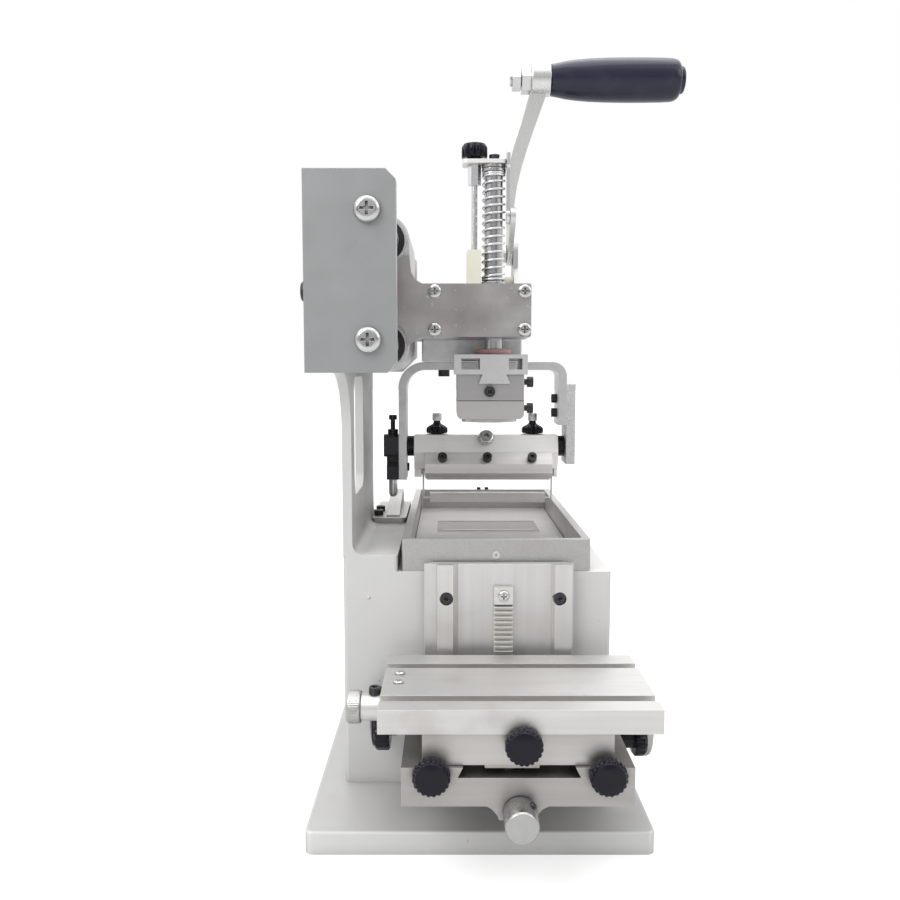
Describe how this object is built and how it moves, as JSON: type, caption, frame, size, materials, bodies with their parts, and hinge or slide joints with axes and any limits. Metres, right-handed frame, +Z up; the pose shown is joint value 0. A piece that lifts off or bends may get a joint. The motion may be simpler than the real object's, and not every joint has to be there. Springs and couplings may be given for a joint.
{
  "type": "tabletop printing press",
  "caption": "Manual pad printing press: lever-driven pad and squeegee carriage on guide rods over an ink tray, with a geared adjustable slotted work table.",
  "frame": {"origin": "centre of the base plate's bottom face", "axes": "+X to the operator's right, +Y away from the operator, +Z up"},
  "size_m": [0.2401, 0.373, 0.4861],
  "materials": {
    "casting_paint": "satin silver-grey paint with fine casting texture",
    "cover_paint": "smooth satin silver-grey paint",
    "zinc_screws": "bright zinc plate",
    "black_screws": "black oxide",
    "ground_steel": "ground steel",
    "tray_aluminium": "bead-blasted",
    "printing_plate_steel": "matte etched steel with ink haze",
    "machined_aluminium": "fine milled",
    "satin_aluminium": "satin silver anodised",
    "textured_aluminium": "pebbled cast face",
    "rack_steel": "milled steel",
    "bearing_steel": "ground bearing steel",
    "arm_plate_steel": "ground and lightly scratched",
    "nylon": "off-white nylon",
    "spring_steel": "bright spring wire",
    "lever_plating": "satin nickel plate",
    "grip_plastic": "polished blue-black plastic",
    "fibre_washer": "orange-brown fibre",
    "knob_plastic": "black phenolic plastic",
    "blade_steel": "spring steel strip",
    "black_oxide": "black oxide steel",
    "table_metal": "milled, with oil marks",
    "wheel_steel": "turned and plated steel"
  },
  "bodies": {
    "frame": {"base_plate": "casting_paint", "body_casting": "casting_paint", "head_covers": "cover_paint", "frame_pan_screws": "zinc_screws", "frame_black_screws": "black_screws", "guide_rods": "ground_steel", "ink_tray": "tray_aluminium", "printing_plate": "printing_plate_steel", "cam_ramp": "ground_steel", "guideway_plate": "machined_aluminium", "guide_rails": "machined_aluminium", "elevation_rack": "rack_steel"},
    "carriage": {"carriage_block": "satin_aluminium", "linear_bearings": "bearing_steel", "arm_front_plate": "arm_plate_steel", "arm_block": "satin_aluminium", "arm_screws": "zinc_screws", "nylon_parts": "nylon", "return_spring": "spring_steel", "fulcrum_plate": "satin_aluminium", "lever_pivot_bolt": "zinc_screws", "yoke_bracket": "satin_aluminium", "yoke": "satin_aluminium", "yoke_side_plate": "textured_aluminium", "yoke_screws": "black_screws"},
    "lever": {"lever_arm": "lever_plating", "lever_pins": "zinc_screws"},
    "grip": {"handle_grip": "grip_plastic"},
    "link": {"drive_link": "ground_steel"},
    "ram": {"pad_shaft": "ground_steel", "cushion_washer": "fibre_washer", "shaft_top_bracket": "machined_aluminium", "anti_rotation_rod": "ground_steel", "dovetail_bracket": "satin_aluminium", "pad_holder": "machined_aluminium", "pad_clamp_plate": "machined_aluminium", "ram_screws": "black_screws"},
    "top_knob": {"top_star_knob": "knob_plastic"},
    "squeegee": {"squeegee_bar": "machined_aluminium", "squeegee_pivots": "zinc_screws", "blade_clamp": "machined_aluminium", "doctor_blade": "blade_steel", "squeegee_screws": "black_screws", "follower_body": "black_oxide", "tilt_discs": "knob_plastic"},
    "pressure_left": {"pressure_knob_left": "knob_plastic"},
    "pressure_right": {"pressure_knob_right": "knob_plastic"},
    "spreader": {"ink_spreader": "machined_aluminium"},
    "knee": {"knee_block": "table_metal"},
    "elevation_drive": {"pinion_shaft": "wheel_steel", "elevation_star_knob": "knob_plastic"},
    "saddle": {"saddle": "table_metal"},
    "cross_screw": {"cross_feed_screw": "wheel_steel"},
    "table": {"work_table": "table_metal"},
    "table_screw": {"table_feed_screw": "wheel_steel"},
    "saddle_knob": {"saddle_lock_knob": "knob_plastic"},
    "right_knob": {"right_lock_knob": "knob_plastic"},
    "left_front_knob": {"left_lock_knob_front": "knob_plastic"},
    "right_front_knob": {"right_lock_knob_front": "knob_plastic"}
  },
  "joints": [
    {"name": "carriage_slide", "type": "slide", "parent": "frame", "child": "carriage", "axis": [0, 1, 0], "range_m": [-0.095, 0.088]},
    {"name": "lever_pull", "type": "hinge", "parent": "carriage", "child": "lever", "pos_m": [0.0242, -0.013, 0.361], "axis": [1, 0, 0], "range_deg": [0, 60]},
    {"name": "grip_spin", "type": "hinge", "parent": "lever", "child": "grip", "pos_m": [0.093, -0.036, 0.472], "axis": [1, 0, 0], "continuous": true},
    {"name": "link_swing", "type": "hinge", "parent": "lever", "child": "link", "pos_m": [0.0209, -0.04764, 0.381], "axis": [1, 0, 0], "range_deg": [-60, 0]},
    {"name": "pad_press", "type": "slide", "parent": "carriage", "child": "ram", "axis": [0, 0, 1], "range_m": [-0.0407, 0], "stiffness_N_per_m": 800, "springref_m": 0.02, "deforming": ["return_spring"]},
    {"name": "top_knob_turn", "type": "hinge", "parent": "ram", "child": "top_knob", "pos_m": [-0.0012, -0.048, 0.42], "axis": [0, 0, 1], "continuous": true},
    {"name": "squeegee_tilt", "type": "hinge", "parent": "carriage", "child": "squeegee", "pos_m": [0.01, 0.045, 0.221], "axis": [1, 0, 0], "range_deg": [-20, 20]},
    {"name": "pressure_left_turn", "type": "hinge", "parent": "squeegee", "child": "pressure_left", "pos_m": [-0.0275, 0.048, 0.231], "axis": [0, 0, 1], "continuous": true},
    {"name": "pressure_right_turn", "type": "hinge", "parent": "squeegee", "child": "pressure_right", "pos_m": [0.0472, 0.048, 0.231], "axis": [0, 0, 1], "continuous": true},
    {"name": "spreader_swing", "type": "hinge", "parent": "squeegee", "child": "spreader", "pos_m": [0.012, 0.045, 0.2], "axis": [1, 0, 0], "range_deg": [-25, 25]},
    {"name": "table_lift", "type": "slide", "parent": "frame", "child": "knee", "axis": [0, 0, 1], "range_m": [-0.02, 0.048]},
    {"name": "elevation_turn", "type": "hinge", "parent": "knee", "child": "elevation_drive", "pos_m": [0.02, -0.1129, 0.065], "axis": [1, 0, 0], "range_deg": [-307, 129]},
    {"name": "cross_screw_turn", "type": "hinge", "parent": "knee", "child": "cross_screw", "pos_m": [0.0193, -0.17, 0.049], "axis": [0, 1, 0], "range_deg": [-529, 721]},
    {"name": "cross_feed", "type": "slide", "parent": "knee", "child": "saddle", "axis": [0, 1, 0], "range_m": [-0.0022, 0.003]},
    {"name": "table_screw_turn", "type": "hinge", "parent": "table", "child": "table_screw", "pos_m": [0, -0.169, 0.094], "axis": [1, 0, 0], "range_deg": [-4501, 3781]},
    {"name": "table_feed", "type": "slide", "parent": "saddle", "child": "table", "axis": [1, 0, 0], "range_m": [-0.025, 0.021]},
    {"name": "saddle_lock_turn", "type": "hinge", "parent": "saddle", "child": "saddle_knob", "pos_m": [0.021, -0.2, 0.0864], "axis": [0, 1, 0], "continuous": true},
    {"name": "right_lock_turn", "type": "hinge", "parent": "knee", "child": "right_knob", "pos_m": [0.08, -0.148, 0.067], "axis": [1, 0, 0], "continuous": true},
    {"name": "left_front_lock_turn", "type": "hinge", "parent": "knee", "child": "left_front_knob", "pos_m": [-0.027, -0.2, 0.07], "axis": [0, 1, 0], "continuous": true},
    {"name": "right_front_lock_turn", "type": "hinge", "parent": "knee", "child": "right_front_knob", "pos_m": [0.065, -0.2, 0.07], "axis": [0, 1, 0], "continuous": true}
  ],
  "couplings": [
    {"joint": "pad_press", "follows": "lever_pull", "m_per_rad": -0.0388},
    {"joint": "link_swing", "follows": "lever_pull", "ratio": -1},
    {"joint": "elevation_turn", "follows": "table_lift", "rad_per_m": -111.11},
    {"joint": "cross_screw_turn", "follows": "cross_feed", "rad_per_m": 4188.8},
    {"joint": "table_screw_turn", "follows": "table_feed", "rad_per_m": 3141.6}
  ]
}
